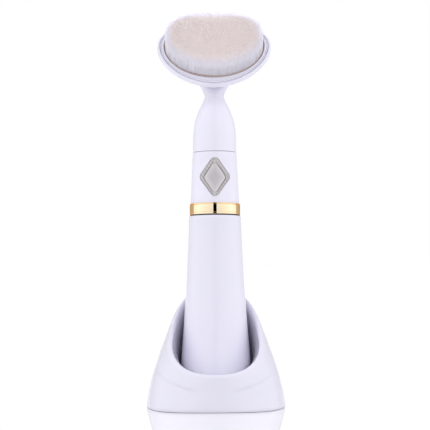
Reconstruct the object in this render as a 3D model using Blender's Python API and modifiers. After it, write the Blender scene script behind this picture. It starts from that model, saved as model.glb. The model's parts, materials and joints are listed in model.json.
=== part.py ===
"""A battery facial cleansing brush standing in its cradle, every piece its own object.

World frame: metres, +Z up, the brush looks along -Y, the origin is the middle of the stand's underside.
The handle's pieces are modelled on the empty handle_axis, whose Z runs up the handle from its foot.
The face's pieces are modelled on the empty face_plane, whose Z points out of the bristles.
Lengths in this file are millimetres and become metres where a mesh is made.
"""

import math

import bmesh
import bpy
from mathutils import Matrix, Vector

MM = 0.001
GAP = 0.3  # clearance between neighbouring pieces

# ---------------------------------------------------------------- driving dimensions
LEAN = math.radians(8.0)  # the handle leans back in its stand
FOOT = Vector((0.0, 1.0, 6.0))  # where the handle's axis leaves its own foot

# Heights along the handle's axis
COVER_TOP = 79.2
BAND_BOTTOM, BAND_TOP = 79.5, 84.65
BODY_BOTTOM, BODY_TOP = 84.95, 108.9
HEAD_BOTTOM = 109.2
NECK_HEIGHT = 135.0

COVER_TOP_RADIUS = 12.1
COVER_FLARE, COVER_FLARE_LENGTH, COVER_FLARE_POWER = 4.8, 76.0, 1.4
COVER_BORE = 10.6  # takes the chassis's spigot
COVER_WALL = 1.7
BAND_RADIUS = 11.75
BODY_BOTTOM_RADIUS, BODY_TOP_RADIUS = 11.3, 10.25
BODY_WALL = 1.6
SPIGOT_RADIUS, SPIGOT_BOTTOM = 10.15, 66.0
CHASSIS_RADIUS, CHASSIS_TOP = 8.5, 104.0

# The face's outlines are (half width, reach towards the neck, reach away from it)
FACE_CENTRE = Vector((0.0, -0.5, 159.5))  # the rim's widest line, on the handle's axes
FACE_TILT = math.radians(61.5)  # from the handle's axis to the face's normal
RIM = (26.75, 22.7, 14.6)
RING = (25.2, 21.1, 13.0)
BASE = (23.0, 17.8, 11.0)
CROWN = (22.9, 16.8, 13.9)
BRISTLE_LENGTH = 8.9
LIP_DEPTH = 2.4
SEAT_DEPTH = 2.6
DISH_DEPTH = 9.0
HEAD_RADIUS, NECK_RADIUS, NECK_WALL = 10.12, 4.5, 1.5

BUTTON_HEIGHT, BUTTON_DROP = 97.0, 0.4  # the frame's middle, and how far below it the button sits
FRAME_SIZE, FRAME_CORNER = (7.3, 10.55), 2.2  # half diagonals of the rounded diamond
BUTTON_SIZE, BUTTON_CORNER = (5.2, 7.95), 1.3
FRAME_PROUD, BUTTON_PROUD = 0.15, 0.3
BUTTON_BACK, BUTTON_REACH = -8.9, 3.0  # the button's flat inner face, and half the bar it's cut from

CELL_RADIUS, CELL_BOTTOM, CELL_TOP = 7.25, 16.2, 65.4  # an AA cell, without its nub
MOTOR_RADIUS, MOTOR_BOTTOM, MOTOR_TOP = 5.0, 106.0, 117.0
WEIGHT_RADIUS, WEIGHT_BOTTOM, WEIGHT_TOP = 3.4, 119.0, 124.5
NOSE_RADIUS, NOSE_TOP = 7.6, 127.2

PAD_THICKNESS, PLATE_THICKNESS, CUP_UNDERSIDE = 0.8, 1.2, 2.6
STAND_FLOOR = 1.1  # the shell's lower edge
BASE_HALF_WIDTH, BASE_HALF_DEPTH, BASE_MIDDLE = 31.3, 32.0, -2.8
BASE_SQUARENESS, BASE_TAPER = 3.6, -0.05
MOUTH_HALF_WIDTH, MOUTH_HALF_DEPTH, MOUTH_MIDDLE = 21.2, 26.9, -1.9
MOUTH_SQUARENESS, MOUTH_TAPER = 2.35, -0.18
MOUTH_FRONT_HEIGHT, MOUTH_SLOPE = 15.4, 0.67
HOOD_SWELL = 0.056
STAND_WALL = 2.0
LIP_START = 0.935  # the share of the hood's height at which it starts to roll over
LIP_REACH_FRONT, LIP_REACH_BACK = 1.5, 3.4  # how far inwards it rolls
LIP_DROP_FRONT, LIP_DROP_BACK = 0.9, 5.4  # how far down inside it rolls
FUNNEL_WALL, FUNNEL_DROP = 1.3, 0.6  # the funnel falls steeply, then turns in to the cup
CUP_FRONT, CUP_BACK, CUP_HALF_WIDTH, CUP_WALL = -16.5, 20.8, 17.6, 1.4
CUP_EDGE_FRONT, CUP_EDGE_SLOPE = 11.7, 0.45  # the cup's edge rises towards the back

FACE_STEPS, SHELL_STEPS, PART_STEPS = 48, 48, 24


# ---------------------------------------------------------------- scene and materials
def clear_scene():
    for obj in list(bpy.data.objects):
        bpy.data.objects.remove(obj)


def new_collection(name):
    made = bpy.data.collections.new(name)
    bpy.context.scene.collection.children.link(made)
    return made


def new_material(name, colour, roughness, metallic=0.0):
    made = bpy.data.materials.new(name)
    made.use_nodes = True
    shader = made.node_tree.nodes["Principled BSDF"]
    shader.inputs["Base Color"].default_value = (*colour, 1.0)
    shader.inputs["Roughness"].default_value = roughness
    shader.inputs["Metallic"].default_value = metallic
    return made


def new_empty(name, parent=None):
    made = bpy.data.objects.new(name, None)
    made.empty_display_size = 10 * MM
    made.parent = parent
    PARTS.objects.link(made)
    return made


def add_object(name, data, material=None, parent=None):
    """Links the data as a part with its own material, or as a hidden cutter when it's given none."""
    made = bpy.data.objects.new(name, data)
    made.parent = parent
    if material is None:
        CUTTERS.objects.link(made)
        made.hide_render = True
        made.display_type = "WIRE"
        return made
    PARTS.objects.link(made)
    own = material.copy()
    own.name = f"{name}_{material.name}"
    data.materials.append(own)
    return made


# ---------------------------------------------------------------- shape makers
def mesh_from(bm, name):
    """Ends a bmesh as a mesh, smooth but for its sharp edges."""
    mesh = bpy.data.meshes.new(name)
    bmesh.ops.recalc_face_normals(bm, faces=bm.faces)
    bm.to_mesh(mesh)
    bm.free()
    mesh.shade_smooth()
    mesh.set_sharp_from_angle(angle=math.radians(35))
    return mesh


def round_edges(obj, width):
    bevel = obj.modifiers.new("round_edges", "BEVEL")
    bevel.width = width * MM
    bevel.segments = 2
    bevel.limit_method = "ANGLE"
    bevel.angle_limit = math.radians(50)


def boolean(obj, other, operation="DIFFERENCE"):
    modifier = obj.modifiers.new(operation.lower(), "BOOLEAN")
    modifier.operation = operation
    modifier.solver = "EXACT"
    modifier.object = other


def turned(name, profile, material=None, parent=None, steps=PART_STEPS, ring=True):
    """Turns (radius, height) points about Z. They run down the outside and, for a ring, back up the bore."""
    mesh = bpy.data.meshes.new(name)
    edges = [(i, i + 1) for i in range(len(profile) - 1)]
    if ring:
        edges.append((len(profile) - 1, 0))
    mesh.from_pydata([(radius * MM, 0.0, height * MM) for radius, height in profile], edges, [])
    obj = add_object(name, mesh, material, parent)
    screw = obj.modifiers.new("turn", "SCREW")
    screw.steps = steps
    screw.render_steps = steps
    screw.use_merge_vertices = True
    screw.merge_threshold = 0.00001
    return obj


def tube(name, outer, inner, bottom, top, material=None, parent=None, steps=PART_STEPS):
    profile = [(outer, top), (outer, bottom), (inner, bottom), (inner, top)]
    return turned(name, profile, material, parent, steps)


def rod(name, radius, bottom, top, material=None, parent=None, steps=PART_STEPS):
    bm = bmesh.new()
    size, length = radius * MM, (top - bottom) * MM
    bmesh.ops.create_cone(bm, cap_ends=True, segments=steps, radius1=size, radius2=size, depth=length)
    obj = add_object(name, mesh_from(bm, name), material, parent)
    obj.location = Vector((0, 0, (bottom + top) / 2)) * MM
    return obj


def seal_ring(name, radius, thickness, height, material, parent):
    bpy.ops.mesh.primitive_torus_add(
        major_radius=radius * MM, minor_radius=thickness * MM, major_segments=36, minor_segments=8
    )
    maker = bpy.context.object
    obj = add_object(name, maker.data, material, parent)
    bpy.data.objects.remove(maker)
    obj.location = Vector((0, 0, height)) * MM
    return obj


def block(name, size, centre, material=None, parent=None):
    bm = bmesh.new()
    bmesh.ops.create_cube(bm, size=1.0)
    bmesh.ops.scale(bm, vec=Vector(size) * MM, verts=bm.verts)
    obj = add_object(name, mesh_from(bm, name), material, parent)
    obj.location = Vector(centre) * MM
    return obj


def flat_piece(name, outline, thickness, material=None, parent=None):
    """A flat outline of (x, y) points thickened evenly about its own plane, as a mesh that can be cut."""
    curve = bpy.data.curves.new(name, "CURVE")
    curve.dimensions = "2D"
    curve.fill_mode = "BOTH"
    curve.extrude = thickness / 2 * MM
    spline = curve.splines.new("POLY")
    spline.points.add(len(outline) - 1)
    spline.use_cyclic_u = True
    for target, (x, y) in zip(spline.points, outline):
        target.co = (x * MM, y * MM, 0.0, 1.0)
    guide = add_object(name + "_outline", curve)
    shape = guide.evaluated_get(bpy.context.evaluated_depsgraph_get())
    bm = bmesh.new()
    bm.from_mesh(bpy.data.meshes.new_from_object(shape))
    bmesh.ops.remove_doubles(bm, verts=bm.verts, dist=0.00001)
    bpy.data.objects.remove(guide)
    return add_object(name, mesh_from(bm, name), material, parent)


def loft(name, rings, material=None, parent=None, ends="CAP"):
    """Skins rings of equal length. The ends are CAP, or JOIN, which runs the last ring into the first."""
    bm = bmesh.new()
    loops = [[bm.verts.new(Vector(point) * MM) for point in ring] for ring in rings]
    pairs = list(zip(loops, loops[1:]))
    if ends == "JOIN":
        pairs.append((loops[-1], loops[0]))
    if ends == "CAP":
        bm.faces.new(loops[0])
        bm.faces.new(loops[-1])
    for lower, upper in pairs:
        for i in range(len(lower)):
            j = (i + 1) % len(lower)
            bm.faces.new((lower[i], lower[j], upper[j], upper[i]))
    return add_object(name, mesh_from(bm, name), material, parent)


def wire(name, points, radius, material, parent):
    curve = bpy.data.curves.new(name, "CURVE")
    curve.dimensions = "3D"
    curve.bevel_depth = radius * MM
    curve.bevel_resolution = 1
    curve.use_fill_caps = True
    spline = curve.splines.new("POLY")
    spline.points.add(len(points) - 1)
    for target, point in zip(spline.points, points):
        target.co = (*(Vector(point) * MM), 1.0)
    return add_object(name, curve, material, parent)


# ---------------------------------------------------------------- outlines
def power_of(value, power):
    return math.copysign(abs(value) ** (2 / power), value)


def egg_outline(half_width, half_depth, taper=0.0, power=2.0):
    """(x, y) points of an oval, wider at +y by the taper and squarer as the power grows."""
    points = []
    for i in range(SHELL_STEPS):
        angle = 2 * math.pi * i / SHELL_STEPS
        along = power_of(math.sin(angle), power)
        across = power_of(math.cos(angle), power)
        points.append((half_width * across * (1 + taper * along), half_depth * along))
    return points


def face_outline(size, grow=0.0, near_power=1.85, far_power=2.1, scale=1.0):
    """(x, y) points round the face: it tapers towards the neck and is broad and blunt away from it."""
    half_width, near, far = (length + grow for length in size)
    points = []
    for i in range(FACE_STEPS):
        angle = 2 * math.pi * i / FACE_STEPS
        upward = math.sin(angle) >= 0
        power = far_power if upward else near_power
        x = half_width * power_of(math.cos(angle), power)
        y = (far if upward else near) * power_of(math.sin(angle), power)
        points.append((x * scale, y * scale))
    return points


def at_height(outline, height):
    return [(x, y, height) for x, y in outline]


def on_handle(outline, height):
    """Carries an outline at that height over the face's plane onto the handle's axes."""
    turn = Matrix.Rotation(FACE_TILT, 3, "X")
    return [FACE_CENTRE + turn @ Vector((x, y, height)) for x, y in outline]


def diamond_outline(size, corner, grow=0.0):
    """(x, y) points of a diamond with the given half diagonals, its corners rounded with arcs."""
    half_width, half_height, radius = size[0] + grow, size[1] + grow, corner + grow
    slope = math.atan2(half_height, half_width)
    points = []
    for quarter in range(4):
        facing = quarter * math.pi / 2
        reach, sweep = (half_height, slope) if quarter % 2 else (half_width, math.pi / 2 - slope)
        middle = reach - radius / math.cos(sweep)
        for step in range(5):
            angle = facing + sweep * (step / 2 - 1)
            x = middle * math.cos(facing) + radius * math.cos(angle)
            y = middle * math.sin(facing) + radius * math.sin(angle)
            points.append((x, y))
    return points


def diamond(name, size, corner, material=None, grow=0.0, drop=0.0):
    """A diamond-shaped bar from inside the body out through its front, that far below the frame's middle."""
    bar = flat_piece(name, diamond_outline(size, corner, grow), 2 * BUTTON_REACH, material, HANDLE)
    bar.rotation_euler = (math.pi / 2, 0, 0)
    bar.location = Vector((0, BUTTON_BACK - BUTTON_REACH, BUTTON_HEIGHT - drop)) * MM
    return bar


# ---------------------------------------------------------------- profiles up the handle
def cover_radius(height):
    down = (COVER_TOP - height) / COVER_FLARE_LENGTH
    return COVER_TOP_RADIUS + COVER_FLARE * max(0.0, down) ** COVER_FLARE_POWER


def body_radius(height):
    up = (height - BODY_BOTTOM) / (BODY_TOP - BODY_BOTTOM)
    return BODY_BOTTOM_RADIUS + (BODY_TOP_RADIUS - BODY_BOTTOM_RADIUS) * up


def shoulder_radius(height):
    """Outer radius of the head's cone: nearly straight, then in to the neck like a bottle's shoulder."""
    up = (height - HEAD_BOTTOM) / (NECK_HEIGHT - HEAD_BOTTOM)
    fall = max(0.0, (up - 0.12) / 0.88)
    eased = (fall**5 * (6 - 5 * fall) + fall**2) / 2
    return HEAD_RADIUS - (HEAD_RADIUS - NECK_RADIUS) * eased


def mouth_height(depth):
    return MOUTH_FRONT_HEIGHT + MOUTH_SLOPE * (depth - (MOUTH_MIDDLE - MOUTH_HALF_DEPTH))


def cup_edge(depth):
    return CUP_EDGE_FRONT + CUP_EDGE_SLOPE * (depth - CUP_FRONT)


# ---------------------------------------------------------------- stand
def base_outline(inset=0.0):
    outline = egg_outline(BASE_HALF_WIDTH - inset, BASE_HALF_DEPTH - inset, BASE_TAPER, BASE_SQUARENESS)
    return [(x, y + BASE_MIDDLE) for x, y in outline]


def mouth_outline(inset=0.0):
    outline = egg_outline(
        MOUTH_HALF_WIDTH - inset, MOUTH_HALF_DEPTH - inset, MOUTH_TAPER, MOUTH_SQUARENESS
    )
    return [(x, y + MOUTH_MIDDLE) for x, y in outline]


def cup_outline(grow=0.0, back=CUP_BACK):
    middle, half_depth = (CUP_FRONT + back) / 2, (back - CUP_FRONT) / 2
    return [(x, y + middle) for x, y in egg_outline(CUP_HALF_WIDTH + grow, half_depth + grow)]


def hood_ring(share, inset=0.0):
    """One ring of the hood, from the base's outline (share 0) to the slanting mouth (share 1)."""
    ring = []
    for (x, y), (top_x, top_y) in zip(base_outline(inset), mouth_outline(inset)):
        top = Vector((top_x, top_y, mouth_height(top_y)))
        point = Vector((x, y, STAND_FLOOR)).lerp(top, share)
        point.x *= 1 + HOOD_SWELL * math.sin(math.pi * share)
        ring.append(point)
    return ring


def inner_edge(grow=0.0):
    """Points inside the mouth where the lip ends: close to its front, and deep inside its back."""
    near, far = mouth_outline(LIP_REACH_FRONT - grow), mouth_outline(LIP_REACH_BACK - grow)
    ring = []
    for (x, y), (far_x, far_y) in zip(near, far):
        share = max(0.0, (y - MOUTH_MIDDLE + MOUTH_HALF_DEPTH) / (2 * MOUTH_HALF_DEPTH)) ** 1.5
        drop = LIP_DROP_FRONT + (LIP_DROP_BACK - LIP_DROP_FRONT) * share
        y += (far_y - y) * share
        ring.append(Vector((x + (far_x - x) * share, y, mouth_height(y) - drop)))
    return ring


def lip_rings(count):
    """The lip as a curve from the hood over to the inside, in line with both."""
    rings = [[] for _ in range(count)]
    for low, outside, inside in zip(hood_ring(LIP_START - 0.01), hood_ring(LIP_START), inner_edge()):
        way = (outside - low).normalized()
        out_fall = mouth_height(outside.y) - outside.z
        in_fall = mouth_height(inside.y) - inside.z
        over = (out_fall + in_fall) / 6
        out_pull = outside + way * ((out_fall + over) / way.z)
        in_pull = inside + Vector((0, 0, in_fall + over))
        for step, ring in enumerate(rings, 1):
            t = step / (count + 1)
            outer = outside * (1 - t) ** 3 + out_pull * 3 * t * (1 - t) ** 2
            ring.append(outer + in_pull * 3 * t * t * (1 - t) + inside * t**3)
    return rings


def funnel_ring(share, grow=0.0):
    """One ring of the funnel, from inside the lip (share 0) down to the cup's edge (share 1)."""
    ring = []
    for start, (x, y) in zip(inner_edge(grow), cup_outline(grow)):
        end = Vector((x, y, cup_edge(y) + GAP))
        bend = Vector((start.x, start.y, start.z + (end.z - start.z) * FUNNEL_DROP))
        ring.append(start * (1 - share) ** 2 + bend * 2 * share * (1 - share) + end * share**2)
    return ring


def make_stand_shell():
    """The hood, its rolled lip and the funnel inside it as one moulding, hollow between them from below."""
    rings = [hood_ring(share) for share in (0.0, 0.05, 0.2, 0.4, 0.6, 0.8, LIP_START)]
    rings += lip_rings(5)
    rings += [funnel_ring(share) for share in (0.0, 0.2, 0.4, 0.6, 0.8, 1.0)]
    rings += [funnel_ring(share, FUNNEL_WALL) for share in (1.0, 0.7, 0.4)]
    rings += [hood_ring(share, STAND_WALL) for share in (0.6, 0.3, 0.0)]
    loft("stand_shell", rings, WHITE, ends="JOIN")


def make_stand_cup():
    """The cup for the handle's foot, with a slanting edge and a floor that leans with the handle."""

    def ring(outline, height):
        return [(x, y, height(y)) for x, y in outline]

    def disc(radius):
        return [(x, y + 1.6) for x, y in egg_outline(radius, radius)]

    def floor(depth):
        return FOOT.z - 0.45 - math.tan(LEAN) * (depth - FOOT.y)

    rings = [
        ring(disc(16.4), lambda depth: CUP_UNDERSIDE),
        ring(cup_outline(CUP_WALL, CUP_BACK - 2.0), lambda depth: 6.0),
        ring(cup_outline(CUP_WALL), cup_edge),
        ring(cup_outline(), cup_edge),
        ring(cup_outline(0.0, CUP_BACK - 2.0), lambda depth: floor(depth) + 2.3),
        ring(disc(15.3), floor),
    ]
    return loft("stand_cup", rings, WHITE)


def make_stand():
    make_stand_shell()
    cup = make_stand_cup()
    pad = flat_piece("stand_pad", base_outline(4.5), PAD_THICKNESS, RUBBER)
    pad.location.z = PAD_THICKNESS / 2 * MM
    plate = flat_piece("stand_base_plate", base_outline(3.2), PLATE_THICKNESS, WHITE)
    plate.location.z = (PAD_THICKNESS + GAP + PLATE_THICKNESS / 2) * MM
    for side, x in (("left", -8.0), ("right", 8.0)):
        hole = rod(f"screw_hole_{side}", 1.6, 0.0, 5.2, steps=16)
        recess = rod(f"screw_recess_{side}", 2.5, 0.0, 1.85, steps=16)
        profile = [(0, 5.0), (0.8, 5.0), (1.3, 4.4), (1.3, 1.75), (2.1, 1.75), (2.1, 1.15), (0, 1.15)]
        screw = turned(f"stand_screw_{side}", profile, STEEL, steps=16, ring=False)
        for obj in (hole, recess, screw):
            obj.location += Vector((x, -6.0, 0.0)) * MM
        boolean(plate, hole)
        boolean(plate, recess)
        boolean(cup, hole)


# ---------------------------------------------------------------- battery cover and cell
def make_cover():
    foot_radius, foot_round = cover_radius(3.2), 3.2
    profile = [(COVER_TOP_RADIUS - 0.25, COVER_TOP), (COVER_TOP_RADIUS, COVER_TOP - 0.3)]
    profile += [(cover_radius(h), h) for h in (72, 64, 56, 48, 40, 32, 24, 16, 9)]
    for step in range(5):
        angle = math.pi / 2 * step / 4
        out = foot_radius - foot_round * (1 - math.cos(angle))
        profile.append((out, foot_round * (1 - math.sin(angle))))
    profile += [(0, 0), (0, 2.0), (foot_radius - 4.0, 2.0), (foot_radius - COVER_WALL - 0.2, 4.0)]
    profile += [(cover_radius(h) - COVER_WALL, h) for h in (12, 24, 36, 48)]
    profile += [(COVER_BORE, 58.0), (COVER_BORE, COVER_TOP)]
    turned("battery_cover", profile, WHITE, HANDLE, SHELL_STEPS)


def coil_points(low_radius, high_radius, bottom, top, turns):
    points = []
    for i in range(16 * turns + 1):
        share = i / (16 * turns)
        radius = low_radius + (high_radius - low_radius) * share
        angle = 2 * math.pi * turns * share
        points.append((radius * math.cos(angle), radius * math.sin(angle), bottom + (top - bottom) * share))
    return points


def make_battery():
    tube("battery_sleeve", 8.65, 7.65, 3.1, 60.0, WHITE_INSIDE, HANDLE)
    rod("spring_plate", 7.3, 2.3, 2.7, STEEL, HANDLE)
    wire("battery_spring", coil_points(5.6, 4.1, 3.5, 15.5, turns=6), 0.4, STEEL, HANDLE)
    corners = [(7.7, 2.3), (9.4, 2.3), (9.4, 64.8), (9.0, 64.8), (9.0, 2.7), (7.7, 2.7)]
    strip = flat_piece("contact_strip", corners, 3.0, STEEL, HANDLE)
    strip.rotation_euler = (math.pi / 2, 0, math.pi / 2)
    round_edges(rod("battery_cell", CELL_RADIUS, CELL_BOTTOM, CELL_TOP, CELL, HANDLE, steps=32), 0.7)
    round_edges(rod("battery_cap", 2.75, CELL_TOP + GAP, 66.9, STEEL, HANDLE), 0.35)


# ---------------------------------------------------------------- chassis and body
def make_chassis():
    """The inner frame: a spigot for the cover below, a floor over the cell and a tube for the board above."""
    r, s = CHASSIS_RADIUS, SPIGOT_RADIUS
    profile = [(r, CHASSIS_TOP), (r, 86.2), (9.5, 86.2), (9.5, BAND_TOP), (s, BAND_TOP), (s, 77.0)]
    profile += [(9.45, 77.0), (9.45, 75.6), (s, 75.6), (s, SPIGOT_BOTTOM), (8.2, SPIGOT_BOTTOM)]
    profile += [(8.2, 68.0), (1.3, 68.0), (1.3, 69.6), (8.2, 69.6), (8.2, 83.0), (7.2, 84.5), (7.2, CHASSIS_TOP)]
    chassis = turned("chassis", profile, WHITE_INSIDE, HANDLE, 40)
    window = block("chassis_window", (7.6, 6.0, 16.0), (0, -8.5, BUTTON_HEIGHT), parent=HANDLE)
    boolean(chassis, window)
    seal_ring("spigot_seal", 10.05, 0.45, 76.3, RUBBER, HANDLE)
    tube("ring_contact", 9.8, 8.4, 65.1, 65.7, BRASS, HANDLE, 32)
    profile = [(0, 71.0), (1.0, 71.0), (1.0, 67.65), (6.5, 67.65), (6.5, 67.2), (0, 67.2)]
    turned("plus_contact", profile, BRASS, HANDLE, ring=False)


def make_band():
    r = BAND_RADIUS
    low, high = BAND_BOTTOM, BAND_TOP
    profile = [(r - 0.35, high), (r, high - 0.35), (r, low + 0.35), (r - 0.35, low), (10.45, low), (10.45, high)]
    turned("gold_band", profile, GOLD, HANDLE, 64)


def layer(name, proud, depth):
    """A cutter: the layer of space that follows the body's wall near the button."""
    heights = (BUTTON_HEIGHT + 11, BUTTON_HEIGHT - 11)
    profile = [(body_radius(h) + proud, h) for h in heights]
    profile += [(body_radius(h) - depth, h) for h in reversed(heights)]
    return turned(name, profile, None, HANDLE, 72)


def make_body():
    profile = [(BODY_TOP_RADIUS - 0.2, BODY_TOP), (BODY_TOP_RADIUS, BODY_TOP - 0.2)]
    profile += [(body_radius(BODY_BOTTOM + 0.2), BODY_BOTTOM + 0.2), (BODY_BOTTOM_RADIUS - 0.2, BODY_BOTTOM)]
    profile += [(BODY_BOTTOM_RADIUS - BODY_WALL, BODY_BOTTOM), (BODY_TOP_RADIUS - BODY_WALL, 107.3)]
    profile += [(7.95, 107.3), (7.95, BODY_TOP)]
    body = turned("body_shell", profile, WHITE, HANDLE, SHELL_STEPS)
    opening = diamond("frame_opening", FRAME_SIZE, FRAME_CORNER, grow=0.2)
    hole = diamond("button_opening", BUTTON_SIZE, BUTTON_CORNER, grow=0.25, drop=BUTTON_DROP)
    frame = diamond("button_frame", FRAME_SIZE, FRAME_CORNER, GREY)
    for obj in (opening, hole, frame):
        obj.location.y += 3.0 * MM
    opening.scale.z = hole.scale.z = 2.0
    boolean(body, opening)
    boolean(frame, layer("frame_layer", FRAME_PROUD, 1.5), "INTERSECT")
    boolean(frame, hole)
    button = diamond("power_button", BUTTON_SIZE, BUTTON_CORNER, GREY, drop=BUTTON_DROP)
    boolean(button, layer("button_layer", BUTTON_PROUD, 3.0), "INTERSECT")


def make_electronics():
    block("circuit_board", (11.0, 1.0, 28.0), (0, -3.4, 88.0), BOARD, HANDLE)
    round_edges(block("switch_body", (6.0, 3.1, 6.0), (0, -5.75, BUTTON_HEIGHT), BLACK, HANDLE), 0.3)
    round_edges(block("driver_chip", (5.0, 1.4, 4.0), (0, -4.9, 84.0), BLACK, HANDLE), 0.2)
    block("resistor", (3.2, 0.6, 1.6), (0, -4.5, 77.5), BLACK, HANDLE)
    capacitor = rod("capacitor", 2.5, 0.0, 6.0, STEEL, HANDLE)
    capacitor.location = Vector((0, 0.4, 81.0)) * MM
    plunger = rod("switch_plunger", 1.6, 0.0, 0.95, BLACK, HANDLE, steps=16)
    plunger.location = Vector((0, -8.1, BUTTON_HEIGHT)) * MM
    for obj in (capacitor, plunger):
        obj.rotation_euler = (math.pi / 2, 0, 0)
    for name, x, material in (("wire_plus", 2.2, RED), ("wire_minus", -2.2, BLACK)):
        points = [(x, -2.1, 92.0), (x, -1.6, 96.0), (x, -0.2, 101.0), (x, 0.0, 105.4)]
        wire(name, points, 0.45, material, HANDLE)


def make_motor():
    """The sealed nose that enters the head, and in it the motor that shakes the brush."""
    r = NOSE_RADIUS
    profile = [(0, NOSE_TOP), (4.4, NOSE_TOP), (5.4, 126.0), (5.6, 121.0), (7.0, 117.8), (r, 116.0)]
    profile += [(r, 114.1), (7.0, 114.1), (7.0, 112.7), (r, 112.7), (r, 107.0), (8.3, 107.0), (8.3, 105.4)]
    profile += [(5.35, 105.4), (5.35, 117.3), (4.2, 118.4), (4.2, 125.8), (0, 125.8)]
    turned("motor_nose", profile, WHITE, HANDLE, 40, ring=False)
    seal_ring("nose_seal", 7.65, 0.5, 113.4, RUBBER, HANDLE)
    top, bottom = MOTOR_TOP, MOTOR_BOTTOM
    profile = [(1.0, top), (MOTOR_RADIUS - 0.5, top), (MOTOR_RADIUS, top - 0.5), (MOTOR_RADIUS, bottom + 1.6)]
    profile += [(0, bottom + 1.6), (0, 113.0), (1.0, 113.0)]
    turned("motor_can", profile, STEEL, HANDLE, 32)
    rod("motor_end_cap", MOTOR_RADIUS, bottom, bottom + 1.3, BLACK, HANDLE, steps=32)
    rod("motor_shaft", 0.75, 113.3, 125.2, STEEL, HANDLE, steps=16)
    weight = tube("eccentric_weight", WEIGHT_RADIUS, 0.95, WEIGHT_BOTTOM, WEIGHT_TOP, BRASS, HANDLE)
    half = block("weight_cut", (10, 8, 12), (0, 5.2, (WEIGHT_BOTTOM + WEIGHT_TOP) / 2), parent=HANDLE)
    boolean(weight, half)


# ---------------------------------------------------------------- head
def circle(radius, height):
    points = []
    for i in range(FACE_STEPS):
        angle = 2 * math.pi * i / FACE_STEPS
        points.append(Vector((radius * math.cos(angle), radius * math.sin(angle), height)))
    return points


def swept_rings(start, rise, bend, end, shares):
    """Rings along curves that leave the start ring straight up and reach the end ring by way of the bend."""
    rings = []
    for t in shares:
        ring = []
        for a, c, d in zip(start, bend, end):
            b = a + Vector((0, 0, rise))
            ring.append(a * (1 - t) ** 3 + b * 3 * t * (1 - t) ** 2 + c * 3 * t * t * (1 - t) + d * t**3)
        rings.append(ring)
    return rings


def make_head_shell():
    heights = (HEAD_BOTTOM, 112.5, 115.5, 118.0, 120.0, 122.0, 124.0, 126.0, 128.0, 129.6, 131.2, 132.6, 133.8)
    outside = [circle(shoulder_radius(h), h) for h in heights]
    shares = (0.0, 0.1, 0.2, 0.3, 0.42, 0.55, 0.7, 0.85, 1.0)
    bend = on_handle(face_outline(RIM, scale=0.75), -DISH_DEPTH)
    end = on_handle(face_outline(RIM, grow=-0.2), -LIP_DEPTH)
    outside += swept_rings(circle(NECK_RADIUS, NECK_HEIGHT), 6.5, bend, end, shares)
    lip = ((0.0, -LIP_DEPTH + 0.5), (0.0, -0.8), (-0.2, -0.25), (-0.65, 0.0), (-1.1, -0.12))
    lip += ((-1.3, -0.5), (-1.3, -SEAT_DEPTH))
    edge = [on_handle(face_outline(RIM, grow=grow), height) for grow, height in lip]
    start = circle(NECK_RADIUS - NECK_WALL, NECK_HEIGHT)
    bend = on_handle(face_outline(RIM, grow=-4.0, scale=0.8), -DISH_DEPTH + 1.0)
    end = on_handle(face_outline(RIM, grow=-4.6), -SEAT_DEPTH)
    inside = swept_rings(start, 7.5, bend, end, shares)
    heights = (HEAD_BOTTOM, 115.5, 120.0, 124.0, 128.0, 131.2, 133.6)
    bore = [circle(shoulder_radius(h) - NECK_WALL, h) for h in heights]
    loft("head_shell", outside + edge + list(reversed(bore + inside)), WHITE, HANDLE, ends="JOIN")


def make_face():
    """The flange ring, the plate that carries the bristles, and the bristles as one soft block."""
    inner = face_outline(BASE, grow=0.75, near_power=2.0, far_power=2.4)
    steps = ((0, -2.3), (0, -0.15), (0.06, 0.05), (0.26, 0.05), (0.32, -0.3), (0.44, -0.3))
    steps += ((0.5, 0.1), (0.9, 0.2), (1, 0.05), (1, -2.3))
    rings = []
    for share, height in steps:
        ring = []
        for (ox, oy), (ix, iy) in zip(face_outline(RING), inner):
            ring.append((ox + (ix - ox) * share, oy + (iy - oy) * share, height))
        rings.append(ring)
    loft("rim_ring", rings, WHITE, FACE, ends="JOIN")
    outline = face_outline(BASE, grow=0.45, near_power=2.0, far_power=2.4)
    plate = flat_piece("bristle_plate", outline, 2.05, COPPER, FACE)
    plate.location.z = -1.275 * MM
    block_rings = []
    sides = ((0, 1, 0.006), (0.4, 1, 0.3), (1, 1, 0.72), (1, 0.985, 0.84), (1, 0.95, 0.93), (1, 0.9, 0.98))
    crown = ((1, 0.8, 1.005), (1, 0.5, 1.025), (1, 0.2, 1.035))
    for share, scale, height in sides + crown:
        block_rings.append(bristle_ring(share, scale, height * BRISTLE_LENGTH))
    loft("bristles", block_rings, BRISTLE, FACE)


def bristle_ring(share, scale, height):
    size = [b + (c - b) * share for b, c in zip(BASE, CROWN)]
    outline = face_outline(size, near_power=2.05, far_power=2.4 + 0.6 * share, scale=scale)
    return at_height(outline, height)


# ---------------------------------------------------------------- build
clear_scene()
PARTS = new_collection("facial_cleansing_brush")
CUTTERS = new_collection("cutters")

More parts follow.
